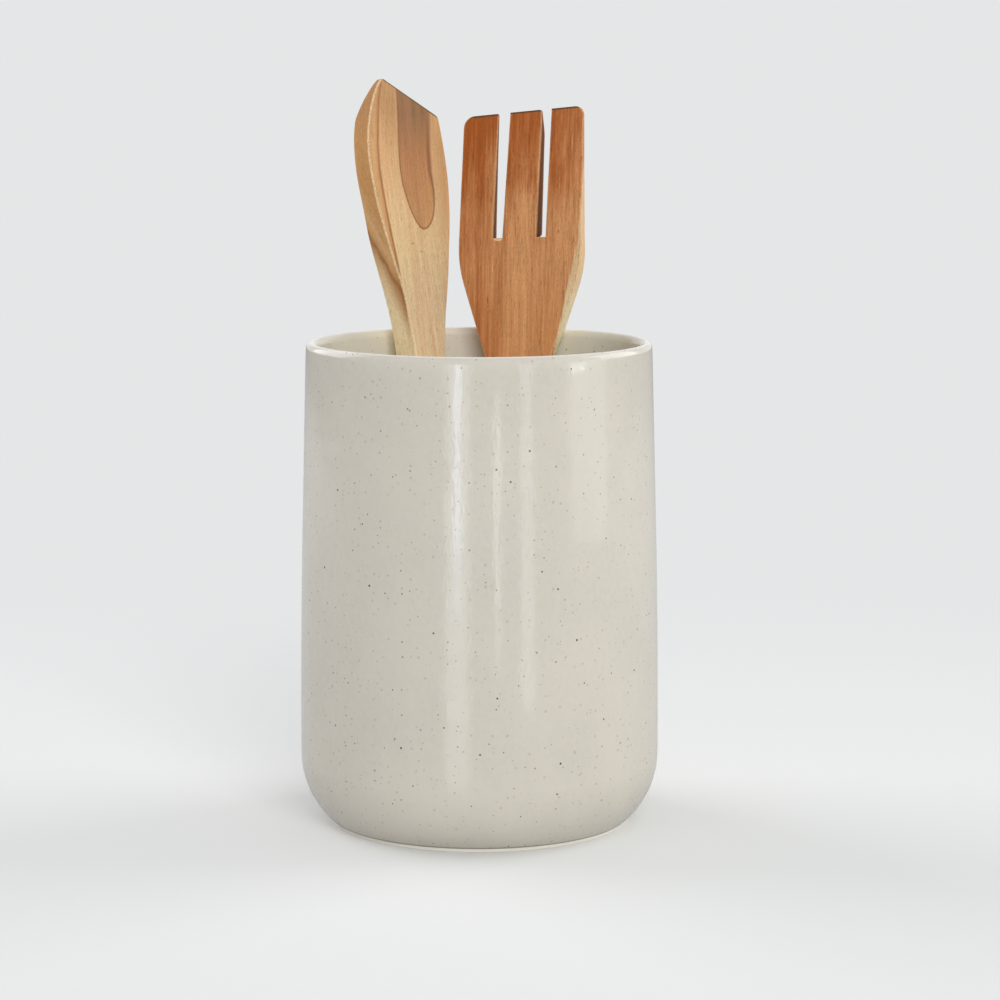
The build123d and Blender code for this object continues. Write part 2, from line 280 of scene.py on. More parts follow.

# %% [markdown]
# Each cell of wood gives one face to the front sheet and one, turned over, to the back. A wall is divided into
# a few steps from front to back, so that it can carry its own colour.


# %% Sheets and walls
def board_faces(wood, steps):
    """Faces of both sheets and of the walls, for a grid of cells that are wood or not.

    Front points come first, then back points, then steps - 1 points down the wall from each grid point."""
    count = (wood.shape[0] + 1) * (wood.shape[1] + 1)

    def down(points, k):
        """The same points k steps down the wall: 0 is the front sheet, and the last step is the back sheet."""
        return points if k == 0 else points + (count if k == steps else (k + 1) * count)

    ids = np.arange(count).reshape(wood.shape[0] + 1, -1)
    cells = np.stack([ids[:-1, :-1], ids[:-1, 1:], ids[1:, 1:], ids[1:, :-1]], -1)[wood]
    start, end = cut_edges(wood)
    walls = [np.stack([down(start, k), down(start, k + 1), down(end, k + 1), down(end, k)], -1)
             for k in range(steps)]
    return np.vstack([cells, cells[:, ::-1] + count, *walls])


def board_points(spots, front, back, steps, lean=0.0):
    """Points of the front sheet, the back sheet and the wall levels between them, as (across, up, front).

    The lean is how far a point's place across moves from the front sheet to the back one."""
    near, far = np.column_stack([spots, front]), np.column_stack([spots, back])
    far[:, 0] += lean
    return np.vstack([near, far] + [near + (far - near) * k / steps for k in range(1, steps)])


print("one cell of wood makes a box of", len(board_faces(np.ones((1, 1), bool), 1)), "faces")

# %% [markdown]
# Both handles are alike: a rounded end, a slight swell where the palm holds it, and corners that sharpen
# towards the neck. So one function gives a handle's half width, half thickness and corner rounding at each
# height above its end.


# %% The handle's section along its length
END_ROUND, SIDE_ROUND, ARRIS, SWELL_LEVEL = 3.6, 4.7, 0.55, 64.0


def handle_section(up, neck_level, neck_side, neck_depth):
    """Half width, half thickness and rounding, each by straight steps from the end to the swell to the neck.

    Near the end all three shrink by e - sqrt(e^2 - (e - up)^2), the rounding of the end itself."""
    stops = (0, SWELL_LEVEL, neck_level)
    inset = rounding_drop(up, END_ROUND)
    side = np.interp(up, stops, (7.3, 8.8, neck_side)) - inset
    depth = np.interp(up, stops, (4.9, 5.5, neck_depth)) - inset
    rounding = np.interp(up, stops, (SIDE_ROUND, SIDE_ROUND, ARRIS)) - inset
    return side, depth, np.maximum(rounding, 0.3)


def place(local, foot, turn_degrees, joint_name):
    """Tool measures (across, up, front) to the crock's frame. Up is the direction in which the tool slides."""
    up = np.array(next(j for j in frame["joints"] if j["name"] == joint_name)["axis"], float)
    up /= np.linalg.norm(up)
    turned = math.radians(turn_degrees)
    across = np.cross(up, [math.sin(turned), -math.cos(turned), 0.0])
    across /= np.linalg.norm(across)
    return np.array(foot) + local @ np.stack([across, up, np.cross(across, up)])


for joint in frame["joints"]:
    print(joint["name"], "slides along", np.round(joint["axis"], 3).tolist())

# %% [markdown]
# A curve through a few measured points gives a tool's side. Straight interpolation would leave corners at
# the points, and a polynomial could swing between them. Hermite pieces, which leave each point along a
# tangent, do neither.


# %% Smooth curves through points
def smooth_through(at, stops, values, start_slope=None, end_slope=None):
    """Cubic Hermite pieces through the points, with each slope the mean of the chords beside it."""
    stops, values = np.array(stops, float), np.array(values, float)
    gap = np.diff(stops)
    chord = np.diff(values) / gap
    between = (chord[1:] * gap[:-1] + chord[:-1] * gap[1:]) / (gap[1:] + gap[:-1])
    slope = np.concatenate([chord[:1], between, chord[-1:]])
    slope[0] = slope[0] if start_slope is None else start_slope
    slope[-1] = slope[-1] if end_slope is None else end_slope
    k = np.clip(np.searchsorted(stops, at, side="right") - 1, 0, len(gap) - 1)
    t = (at - stops[k]) / gap[k]
    rise, fall = 3 * t ** 2 - 2 * t ** 3, 1 - 3 * t ** 2 + 2 * t ** 3
    return (fall * values[k] + rise * values[k + 1]
            + gap[k] * ((t - 2 * t ** 2 + t ** 3) * slope[k] + (t ** 3 - t ** 2) * slope[k + 1]))


def ease(t):
    """0 below 0 and 1 above 1, rising between them along 3t^2 - 2t^3."""
    t = np.clip(t, 0, 1)
    return 3 * t ** 2 - 2 * t ** 3


print("a quarter of the way up, ease gives", ease(0.25))

# %% [markdown]
# Rounded corners and rounded arrises need their points close together, or the shine on them breaks into
# facets. One helper gives distances that crowd towards an edge, and one gives the points round a corner.


# %% Points round a corner
def quarter_steps(size, count):
    """Distances from an edge that are closer together near it: size * (1 - cos) over a quarter turn."""
    return size * (1 - np.cos(np.linspace(0, np.pi / 2, count + 1)))


def corner_run(before, corner, after, radius, count):
    """Points round a rounded corner, from the line before it to the line after it, both ends included."""
    before, corner, after = (np.array(p, float) for p in (before, corner, after))
    back = (before - corner) / np.linalg.norm(before - corner)
    on = (after - corner) / np.linalg.norm(after - corner)
    half = math.acos(np.clip(back @ on, -1, 1)) / 2
    middle = corner + (back + on) / np.linalg.norm(back + on) * radius / math.sin(half)
    first, last = corner + back * radius / math.tan(half), corner + on * radius / math.tan(half)
    angle = np.linspace(0, 1, count)[:, None]
    spread = math.pi - 2 * half
    a, b = first - middle, last - middle
    return middle + (np.sin((1 - angle) * spread) * a + np.sin(angle * spread) * b) / math.sin(spread)


print("a square corner rounded by 1 mm", corner_run((0, 9), (0, 0), (9, 0), 1.0, 3).round(2).tolist())

# %% [markdown]
# ## The spatula
# Its blade is broad and leans to the left, with a slanted end that is bevelled from the back to a thin edge.
# The two sides are read from the outline, and the lines across tilt little by little until the last one is
# the slanted end itself.

# %% The spatula's outline
SPATULA_SECTION = (152.0, 7.5, 5.6)  # the neck's level, half width and half thickness
NECK_LEVEL, NECK_SIDE = SPATULA_SECTION[:2]
TIP, END_CORNER, TIP_ROUND, CORNER_ROUND = (-13.6, 285.0), (18.2, 268.4), 2.5, 3.0


def blade_side(up, levels, sides, bow):
    """Half width: a curve through the measured points, then a circle that is upright at the last of them.

    At a rise above that point the circle's half width is side - (bow - sqrt(bow^2 - rise^2))."""
    below = smooth_through(np.minimum(up, levels[-1]), levels, sides, 0, 0)
    rise = np.maximum(up, levels[-1]) - levels[-1]
    return np.where(up < levels[-1], below, sides[-1] - (bow - np.sqrt(bow ** 2 - rise ** 2)))


def left_curve(up):
    """Half width of the blade on its left."""
    return blade_side(up, (NECK_LEVEL, 199, 225.3, 256), (NECK_SIDE, 12.2, 20.2, 25.2), 42.05)


def right_curve(up):
    """Half width of the blade on its right."""
    return blade_side(up, (NECK_LEVEL, 179, 211, 240), (NECK_SIDE, 10.4, 17.2, 21.1), 140.5)


tip_run = corner_run((-left_curve(281.0), 281.0), TIP, END_CORNER, TIP_ROUND, 12)
corner_turn = corner_run((right_curve(264.0), 264.0), END_CORNER, TIP, CORNER_ROUND, 12)

handle_up = np.concatenate([quarter_steps(END_ROUND, 7)[:-1], np.linspace(END_ROUND, NECK_LEVEL, 74)])
head_share = np.linspace(0, 1, 104)[1:-1]
left_up = NECK_LEVEL + (tip_run[0, 1] - NECK_LEVEL) * head_share
right_up = NECK_LEVEL + (corner_turn[0, 1] - NECK_LEVEL) * head_share
handle_side = handle_section(handle_up, *SPATULA_SECTION)[0]
left_side = np.vstack([
    np.column_stack([-handle_side, handle_up]), np.column_stack([-left_curve(left_up), left_up]), tip_run])
right_side = np.vstack([
    np.column_stack([handle_side, handle_up]), np.column_stack([right_curve(right_up), right_up]), corner_turn])
print("spatula lines across", len(left_side), "longest", np.ptp(right_side[:, 0] - left_side[:, 0]).round(1))


# %% [markdown]
# Columns of the grid are close together at each side, where the sandpaper rounded the arris, and even
# between. On the handle the rounding is wide, so the same columns spread further in.

# %% The spatula's grid
def side_columns(width, rounding, inner, near):
    """Shares across each line: a rounding's columns at both sides, and even columns between them."""
    steps = np.linspace(0, np.pi / 2, near + 1)
    edge = rounding[:, None] * (1 - np.cos(steps)) / width[:, None]
    middle = edge[:, -1:] + (1 - 2 * edge[:, -1:]) * np.linspace(0, 1, inner + 2)[1:-1]
    return np.hstack([edge, middle, 1 - edge[:, ::-1]])


def arris_wear(up, seed):
    """A rounding that the hand varied: the drawn radius times one plus slow sines of the height."""
    return 1 + 0.22 * np.sin(up / 9.0 + seed) + 0.15 * np.sin(up / 3.7 + 2.1 * seed)


def row_rounding(left, right, neck, most):
    """The rounding at the two ends of each line across, at most a share of the line's length."""
    middle_up = (left[:, 1] + right[:, 1]) / 2
    drawn = handle_section(np.minimum(middle_up, neck[0]), *neck)[2]
    return np.minimum(drawn, most * np.linalg.norm(right - left, axis=1))


width = np.linalg.norm(right_side - left_side, axis=1)
share = side_columns(width, row_rounding(left_side, right_side, SPATULA_SECTION, 0.47), 54, 6)
spots = (left_side[:, None] + share[..., None] * (right_side - left_side)[:, None]).reshape(-1, 2)
wood = np.ones((share.shape[0] - 1, share.shape[1] - 1), bool)
away = cut_distance(spots, wood)
up = spots[:, 1]
print("spatula grid", share.shape)

# %% [markdown]
# The blade's face goes on from the handle's, and the back is thinned to make the blade, then bevelled to the
# slanted end. Both sheets are one height a grid point: the thickness of the board there, less the rounding of
# the arris, which the hand wore by different amounts, and a hollow of a tenth of a millimetre left by sanding.

# %% The spatula's thickness
FACE, BLADE, EDGE, BEVEL, THINNEST = 5.6, 7.8, 2.6, 18.0, 0.3
FOOT, TURN, STEPS = (-8.41917, 37.0121, 8.11134), 50.0, 4
half = handle_section(np.minimum(up, NECK_LEVEL), *SPATULA_SECTION)
end_line = np.array(END_CORNER) - np.array(TIP)
end_line = end_line / np.linalg.norm(end_line)
below_end = (spots - np.array(TIP)) @ np.array([end_line[1], -end_line[0]])
rounding = np.where(up < NECK_LEVEL, half[2], ARRIS * arris_wear(up, 0.4))
drop = rounding_drop(away, rounding)
hollow = 0.10 * np.sin(spots[:, 0] / 7.0 + up / 31.0) * ease((up - NECK_LEVEL) / 30) * ease(away / 5)
front = np.where(up < NECK_LEVEL, half[1], FACE) + hollow - drop
cut_away = smooth_through(np.clip(up, 203, 290), (203, 235, 290), (FACE, 3.6, BLADE - FACE), 0, 0)
back_flat = -np.where(up < NECK_LEVEL, half[1], cut_away)
bevel = FACE - EDGE - (BLADE - EDGE) * below_end / BEVEL
back_flat = np.where(up > 230, np.maximum(back_flat, bevel), back_flat)
back = np.minimum(back_flat - hollow + drop, front - THINNEST)

faces = board_faces(wood, STEPS)
used_spatula = np.unique(faces)
spatula_local = board_points(spots, front, back, STEPS)[used_spatula]
spatula_points = place(spatula_local, FOOT, TURN, "spatula_lift")
spatula = make_piece("spatula_wood", spatula_points, np.searchsorted(used_spatula, faces),
                     "spatula", "spatula")
store(spatula, "tool_place", spatula_local)

# %% [markdown]
# ## The fork
# The fork's head is even about its middle. Two gaps are sawn down from its top edge, a little wider at the
# top, so its grid has lines that follow the gap's edges, and the cells between them are left out above the
# roots of the tines. Below the roots the same lines fan in to the neck.

# %% The fork's outline
FORK_SECTION = (138.0, 8.5, 6.2)
FORK_NECK, FORK_SIDE = FORK_SECTION[:2]
HEAD, TOP, SHOULDER_LEVEL, TOP_LEVEL, SLANT = 25.45, 24.6, 208.6, 270.9, 2.5
THROAT_LEVEL, THROAT_ROUND, SHOULDER_ROUND, LEFT_ROUND, RIGHT_ROUND = 156.0, 60, 50, 4.9, 3.4
LEFT_ROOT, RIGHT_ROOT, ROOT_ROWS = 219.6, 220.3, 4
neck, throat, shoulder = (FORK_SIDE, FORK_NECK), (FORK_SIDE, THROAT_LEVEL), (HEAD, SHOULDER_LEVEL)
top_left, top_right = (-TOP, TOP_LEVEL - SLANT), (TOP, TOP_LEVEL + SLANT)
fork_side = np.vstack([
    [neck], corner_run(neck, throat, shoulder, THROAT_ROUND, 24),
    corner_run(throat, shoulder, top_right, SHOULDER_ROUND, 24), [(TOP, TOP_LEVEL)]])
left_turn = corner_run((-HEAD, SHOULDER_LEVEL), top_left, top_right, LEFT_ROUND, 18)
right_turn = corner_run(shoulder, top_right, top_left, RIGHT_ROUND, 18)

fork_handle_up = np.concatenate([quarter_steps(END_ROUND, 7)[:-1], np.linspace(END_ROUND, FORK_NECK, 60)])
palm_up = np.concatenate([
    np.linspace(FORK_NECK, LEFT_ROOT - 3.0, 62)[1:-1], LEFT_ROOT - quarter_steps(3.0, 9)[::-1],
    np.linspace(LEFT_ROOT, RIGHT_ROOT, ROOT_ROWS + 1)[1:]])
fork_handle_side = handle_section(fork_handle_up, *FORK_SECTION)[0]


def fork_edge(hand, corner):
    """One side of the fork, from the handle's end to its top corner: hand is -1 on the left, 1 on the right."""
    tine_up = RIGHT_ROOT + (corner[0, 1] - RIGHT_ROOT) * np.linspace(0, 1, 52)[1:-1]
    up = np.concatenate([palm_up, tine_up])
    return np.vstack([np.column_stack([hand * fork_handle_side, fork_handle_up]),
                      np.column_stack([hand * np.interp(up, fork_side[:, 1], fork_side[:, 0]), up]), corner])


fork_left, fork_right = fork_edge(-1, left_turn), fork_edge(1, right_turn)
right_root_row = len(fork_handle_up) + len(palm_up) - 1
left_root_row = right_root_row - ROOT_ROWS
print("fork lines across", len(fork_left), "roots at", fork_left[[left_root_row, right_root_row], 1])

# %% [markdown]
# A gap is a saw cut with straight sides, and the left one was sawn a little wider at its mouth. Its two edges
# are columns of the grid. Where such a column crosses each line is found by going round three times: the
# height of the crossing gives the edge's place, and the place gives a better height.

# %% The gaps' edges
GAP, PITCH, OFFSET, LEAN, LEFT_FLARE = 3.9, 17.8, 0.45, 1.0, 0.9
GAPS = ((-OFFSET - PITCH / 2, left_root_row, LEFT_ROOT, LEFT_FLARE),
        (-OFFSET + PITCH / 2, right_root_row, RIGHT_ROOT, 0.0))


def gap_edge(base, run, root_row, root):
    """A gap edge's share across each line: leaning by its run above the root, and constant below it."""
    found = np.full(len(fork_left), base, float)
    span = fork_right - fork_left
    for _ in range(3):
        t = (found - fork_left[:, 0]) / span[:, 0]
        rise = np.clip(fork_left[:, 1] + t * span[:, 1] - root, 0, None)
        found = base + run * rise / (TOP_LEVEL - root)
    t = (found - fork_left[:, 0]) / span[:, 0]
    return np.where(np.arange(len(t)) < root_row, t[root_row], t)


edges = [np.zeros(len(fork_left))]
for middle, root_row, root, flare in GAPS:
    edges += [gap_edge(middle - GAP / 2, LEAN, root_row, root),
              gap_edge(middle + GAP / 2, LEAN + flare, root_row, root)]
edges.append(np.ones(len(fork_left)))
print("gap edges at the top, as shares of the width", [e[-1].round(3) for e in edges[1:-1]])

# %% [markdown]
# Between the edges come the tines' own columns, close together at each arris. The cells of the gaps get four
# columns, which are needed below the roots, where the palm is whole, and they are left out above them.

# %% The fork's grid
fork_width = np.linalg.norm(fork_right - fork_left, axis=1)
side_round = row_rounding(fork_left, fork_right, FORK_SECTION, 0.2) / fork_width
cut_round = np.minimum(ARRIS, fork_width * 0.02) / fork_width
close = 1 - np.cos(np.linspace(0, np.pi / 2, 6))


def tine_columns(low, high, round_low, round_high, most_high):
    """Columns from one edge of a tine to the other: a rounding's steps at each, and even ones between."""
    first = np.minimum(round_low, (high - low) * 0.8)[:, None] * close
    last = np.minimum(round_high, (high - low) * most_high)[:, None] * close[::-1]
    start, stop = low[:, None] + first[:, -1:], high[:, None] - last[:, :1]
    inner = start + (stop - start) * np.linspace(0, 1, 24)[1:-1]
    return np.hstack([low[:, None] + first, inner, high[:, None] - last])


columns = [tine_columns(edges[0], edges[1], side_round, cut_round, 0.15)]
gap_columns = []
for k in (1, 3):
    before = sum(c.shape[1] for c in columns)
    gap_columns += [before - 1, before + 4]
    columns.append(edges[k][:, None] + (edges[k + 1] - edges[k])[:, None] * np.linspace(0, 1, 6)[1:-1])
    outermost = k == 3
    columns.append(tine_columns(edges[k + 1], edges[k + 2], cut_round, side_round if outermost else cut_round,
                                0.8 if outermost else 0.15))
fork_share = np.hstack(columns)
fork_spots = (fork_left[:, None] + fork_share[..., None] * (fork_right - fork_left)[:, None]).reshape(-1, 2)
fork_wood = np.ones((fork_share.shape[0] - 1, fork_share.shape[1] - 1), bool)
for (_, root_row, _, _), first, last in zip(GAPS, gap_columns[::2], gap_columns[1::2]):
    fork_wood[root_row:, first:last] = False
print("fork grid", fork_share.shape, "gap columns", gap_columns)

# %% [markdown]
# The four corners beside the gaps were softened by hand, each by its own amount. Their grid stays square, and
# its points are only moved: each small square about the rounding's centre becomes a circle of the same size.

# %% Rounded tips at the gaps
TIP_ROUNDS = (0.7, 1.9, 1.2, 0.6)


def round_tip(spots_in, corner, along_top, down_gap, radius):
    """Bend a square corner of the grid round: squares about the rounding's centre become circles.

    With x and y the distances from that centre over the radius, both are times max(x, y) / sqrt(x^2 + y^2)."""
    along_top, down_gap = (np.array(v, float) / np.linalg.norm(v) for v in (along_top, down_gap))
    rel = spots_in - corner
    a, b = rel @ along_top, rel @ down_gap
    near_it = (a > -1e-6) & (a < radius) & (b > -1e-6) & (b < radius)
    x, y = radius - a[near_it], radius - b[near_it]
    scale = np.maximum(x, y) / np.maximum(np.hypot(x, y), 1e-9)
    moved = spots_in.copy()
    moved[near_it] += np.outer(x - x * scale, along_top) + np.outer(y - y * scale, down_gap)
    return moved


top_line = fork_right[-1] - fork_left[-1]
grid = fork_spots.reshape(*fork_share.shape, 2)
for column, side, radius in zip(gap_columns, (-1, 1, -1, 1), TIP_ROUNDS):
    gap_line = grid[-12, column] - grid[-1, column]
    fork_spots = round_tip(fork_spots, grid[-1, column], top_line * side, gap_line, radius)
print("tips rounded by", TIP_ROUNDS, "mm")

# %% [markdown]
# The head thins from both faces towards the tips. The saw wasn't quite square to the board: the second gap's
# left wall leans, which shows more of that wall from the front. The lean fades out within 3 mm of the wall.

# %% The fork's thickness
CARVED, CARVED_FRONT, CARVED_BACK = (184, 224, 278.4), (6.2, 4.9, 2.2), (6.2, 2.7, -0.2)
CUT_LEAN, LEAN_REACH, LEAN_TOP = 1.15, 3.0, 272.5
FORK_FOOT, FORK_TURN = (13.6023, 35.5103, 8.02359), -12.5
fork_away = cut_distance(fork_spots, fork_wood)
fork_up = fork_spots[:, 1]
half = handle_section(np.minimum(fork_up, FORK_NECK), *FORK_SECTION)
carved, carved_back = (smooth_through(np.clip(fork_up, CARVED[0], CARVED[-1]), CARVED, depths, 0, 0)
                       for depths in (CARVED_FRONT, CARVED_BACK))
rounding = np.where(fork_up < FORK_NECK, half[2], ARRIS * arris_wear(fork_up, 1.3))
drop = rounding_drop(fork_away, rounding)
hollow = 0.08 * np.sin(fork_spots[:, 0] / 6.0 + fork_up / 27.0)
hollow = hollow * ease((fork_up - FORK_NECK) / 30) * ease(fork_away / 5)
fork_front = np.where(fork_up < FORK_NECK, half[1], carved) + hollow - drop
fork_back = -np.where(fork_up < FORK_NECK, half[1], carved_back) - hollow + drop
fork_back = np.minimum(fork_back, fork_front - THINNEST)
cut_side = grid[:, gap_columns[2], 0].repeat(fork_share.shape[1])
beside_cut = ease(1 + (fork_spots[:, 0] - cut_side) / LEAN_REACH) * (fork_spots[:, 0] < cut_side + 1e-6)
lean = CUT_LEAN * beside_cut * ease((fork_up - RIGHT_ROOT) / 1.2) * ease((LEAN_TOP - fork_up) / 12)

faces = board_faces(fork_wood, STEPS)
used_fork = np.unique(faces)
fork_local = board_points(fork_spots, fork_front, fork_back, STEPS, lean)[used_fork]
fork_points = place(fork_local, FORK_FOOT, FORK_TURN, "fork_lift")
fork = make_piece("fork_wood", fork_points, np.searchsorted(used_fork, faces), "fork", "fork")
store(fork, "tool_place", fork_local)

# %% [markdown]
# ## Materials
# A material is a small network of nodes. The helpers below add a node, join what feeds it, and give back its
# output, so that a finish reads as a list of steps.

# %% Node helpers
def new_material(name):
    """An empty material with a Principled shader and its output."""
    material = bpy.data.materials.new(name)
    material.use_nodes = True
    tree = material.node_tree
    return material, tree, tree.nodes["Principled BSDF"]


def add(tree, kind, output, inputs=None, **settings):
    """Add a node with its settings and inputs, which are numbers or sockets, and return one output."""
    made = tree.nodes.new("ShaderNode" + kind)
    for name, value in settings.items():
        setattr(made, name, value)
    for name, value in (inputs or {}).items():
        if isinstance(value, bpy.types.NodeSocket):
            tree.links.new(value, made.inputs[name])
        else:
            made.inputs[name].default_value = value
    return made.outputs[output]


def math_node(tree, operation, a, b=0.0):
    """One sum of two numbers or sockets."""
    return add(tree, "Math", 0, {0: a, 1: b}, operation=operation)


def stretch(tree, value, low, high, to_low=0.0, to_high=1.0):
    """A value between low and high, eased to the new range and held outside it."""
    names = {"Value": value, "From Min": low, "From Max": high, "To Min": to_low, "To Max": to_high}
    return add(tree, "MapRange", "Result", names, interpolation_type="SMOOTHSTEP")


print("pieces that wait for a finish", [piece.name for piece in (crock, spatula, fork)])

# %% [markdown]
# A finish is mostly colours laid over each other, so those steps get short names too. Colours are written as
# they look in a picture, 0 to 255, and turned into the linear light that a shader needs.


# %% Colours, kept numbers and noise
def tint(tree, factor, below, above):
    """A colour between two: the first at 0 and the second at 1."""
    return add(tree, "Mix", 2, {0: factor, 6: below, 7: above}, data_type="RGBA")


def lay(tree, mask, share, below, above):
    """The second colour laid over the first where the mask says, and by a share of it."""
    return tint(tree, math_node(tree, "MULTIPLY", mask, share), below, above)


def kept(tree, name):
    """The number that a piece keeps for each point under a name."""
    return add(tree, "Attribute", "Fac", attribute_name=name)


def rgb(red, green, blue):
    """A colour as the render shows it, 0 to 255, as linear light."""
    shown = np.array([red, green, blue]) / 255
    linear = np.where(shown <= 0.04045, shown / 12.92, ((shown + 0.055) / 1.055) ** 2.4)
    return (*linear.tolist(), 1.0)


def noise(tree, place_socket, size, seed, detail=2.0, rough=0.5):
    """Noise whose lumps measure size = (x, y, z) in the units of the place it reads."""
    scaled = add(tree, "Mapping", 0, {"Vector": place_socket, "Location": (seed * 3.1, seed * 1.7, seed * 2.3),
                                      "Scale": tuple(1 / s for s in size)})
    return add(tree, "TexNoise", 0, {"Vector": scaled, "Scale": 1.0, "Detail": detail, "Roughness": rough})


print("a grey of 128 is", round(rgb(128, 128, 128)[0], 3), "in linear light")

# %% [markdown]
# ### Speckled glaze
# Iron specks in the clay melt into the glaze as brown dots. A dot shows where the wall cuts a small ball in
# the clay, so balls scattered in space, cut by the surface, give dots of many sizes at no extra cost. Three
# sets are laid over each other: a few dark ones, more small ones, and faint ones deep in the glaze.

# %% A speck
SMALLEST_BALL = 0.45


def specks(tree, spot, cell, ball, soft):
    """1 inside balls of random size about scattered points, 0 outside, with a soft edge. Sizes in metres.

    A ball's radius is a share of ball, from SMALLEST_BALL to 1, and cell is the room that each point has."""
    voronoi = tree.nodes.new("ShaderNodeTexVoronoi")
    voronoi.inputs["Scale"].default_value = 1 / cell
    tree.links.new(spot, voronoi.inputs["Vector"])
    chance = add(tree, "SeparateColor", 0, {0: voronoi.outputs["Color"]})
    size = math_node(tree, "ADD", SMALLEST_BALL, math_node(tree, "MULTIPLY", chance, 1 - SMALLEST_BALL))
    reach = math_node(tree, "MULTIPLY", size, ball / cell)
    inside_ball = math_node(tree, "SUBTRACT", reach, voronoi.outputs["Distance"])
    return stretch(tree, inside_ball, 0.0, soft / cell)


print("the smallest ball of a set has", SMALLEST_BALL, "of the largest one's radius")

# %% [markdown]
# Under the specks the glaze is a warm off-white that shifts over some centimetres, with a fine mottle of its
# crystals. The attributes kept above paint it paler inside, as light that falls into the pot, and paint a
# highlight along the lip's crest. Two of the three sets of specks read a shifted place, so that no two sets
# share their centres.

# %% The glaze's colour
glaze, tree, shader = new_material("speckled_glaze")
spot = add(tree, "TexCoord", "Object")
shift = add(tree, "Mapping", 0, {"Vector": spot, "Location": (0.0031, 0.0017, 0.0)})
aside = add(tree, "Mapping", 0, {"Vector": spot, "Location": (0.0112, 0.0067, 0.0045)})
cloud = noise(tree, spot, (0.035, 0.035, 0.05), 1.0, 3.0)
mottle = noise(tree, spot, (0.0022, 0.0022, 0.0022), 2.0, 2.0)
glazed = tint(tree, stretch(tree, cloud, 0.3, 0.7), rgb(209, 203, 191), rgb(215, 209, 196))
glazed = tint(tree, stretch(tree, mottle, 0.25, 0.75, 0.0, 0.35), glazed, rgb(220, 214, 202))
# Painted light: paler inside the pot.
glazed = lay(tree, kept(tree, "inside"), 0.85, glazed, rgb(229, 226, 213))
# Painted highlight: a near-white line along the lip's crest.
glazed = lay(tree, kept(tree, "lip"), 0.8, glazed, rgb(246, 244, 238))
for where, cell, ball, soft, share, colour in (
        (shift, 0.0028, 0.00072, 0.00044, 0.32, rgb(142, 118, 90)),
        (spot, 0.0036, 0.00052, 0.00022, 0.60, rgb(104, 84, 62)),
        (aside, 0.0060, 0.00054, 0.00018, 0.90, rgb(60, 46, 36))):
    glazed = lay(tree, specks(tree, where, cell, ball, soft), share, glazed, colour)
print("three sets of specks laid over", glaze.name)

# %% [markdown]
# The bare ring is rough, pale clay with a sandy grain, and the groove above it is painted dark: painted
# shade, along with the darker edge where the glaze stops. The shine comes from a low roughness. Real glaze is
# never flat as glass: a ripple about a millimetre across, like orange peel, and a slower wave break the edges
# of everything it reflects.

# %% Bare clay, painted shade in the groove, shine and ripple
GROOVE_SHADE_SHARE, GLAZE_ROUGH, CLAY_ROUGH, RELIEF = 0.85, 0.10, 0.75, 0.00012
bare = kept(tree, "bare_clay")
clay_grain = noise(tree, spot, (0.0006, 0.0006, 0.0006), 4.0, 3.0)
clay = tint(tree, clay_grain, rgb(232, 226, 214), rgb(244, 239, 229))
# Painted shade in the groove above the ring, together with the glaze's darker edge.
colour = lay(tree, kept(tree, "groove"), GROOVE_SHADE_SHARE, tint(tree, bare, glazed, clay), rgb(96, 84, 70))
tree.links.new(colour, shader.inputs["Base Color"])
tree.links.new(stretch(tree, bare, 0.0, 1.0, GLAZE_ROUGH, CLAY_ROUGH), shader.inputs["Roughness"])
shader.inputs["IOR"].default_value = 1.5
ripple = noise(tree, spot, (0.0010, 0.0010, 0.0024), 5.0, 1.0)
wave = noise(tree, spot, (0.0045, 0.0045, 0.012), 6.0, 1.0)
relief = math_node(tree, "ADD", math_node(tree, "MULTIPLY", ripple, 0.42), wave)
relief = add(tree, "Bump", 0, {"Strength": 0.75, "Distance": RELIEF, "Height": relief})
tree.links.new(relief, shader.inputs["Normal"])
crock.data.materials.append(glaze)
print("glaze roughness", GLAZE_ROUGH, "bare clay", CLAY_ROUGH, "relief", RELIEF / MM, "mm")

# %% [markdown]
# ### Wood
# Both tools are solid wood, so the figure is worked out in the tool's own measures and goes right through:
# the same streak shows on the face, over the arris and down the wall. The spatula's face is crossed by a tongue
# of darker heartwood. Its edge is drawn as a closed path in the plane of the face, and each point of the piece
# keeps its distance to that path. The path leans as it goes deeper, so the tongue is solid too. Its right
# edge blurs towards the sawn end, and a smaller number kept there does that.

# %% The spatula's heartwood
tongue_path = np.array([
    (-5.0, 300.0), (-6.2, 277.8), (-6.7, 269.8), (-7.6, 261.0), (-8.2, 249.0), (-7.5, 242.0), (-5.8, 236.0),
    (-3.6, 230.6), (-1.2, 226.4), (0.9, 224.0), (3.0, 223.1), (5.4, 223.6), (8.0, 225.5), (10.1, 228.6),
    (11.3, 233.0), (11.7, 238.0), (11.2, 246.0), (11.6, 256.0), (12.9, 266.0), (15.0, 300.0), (-5.0, 300.0)])
TONGUE_LEAN, TONGUE_BLUR = (0.22, 1.1), 0.72


def inside_path(spots_in, path):
    """True where a line to the right of a spot crosses the closed path an odd number of times."""
    (ax, ay), (bx, by) = path[:-1].T, path[1:].T
    x, y = spots_in[:, :1], spots_in[:, 1:]
    spans = (ay > y) != (by > y)
    cross_at = ax + (y - ay) * (bx - ax) / np.where(by == ay, 1e-9, by - ay)
    return (spans & (x < cross_at)).sum(1) % 2 == 1


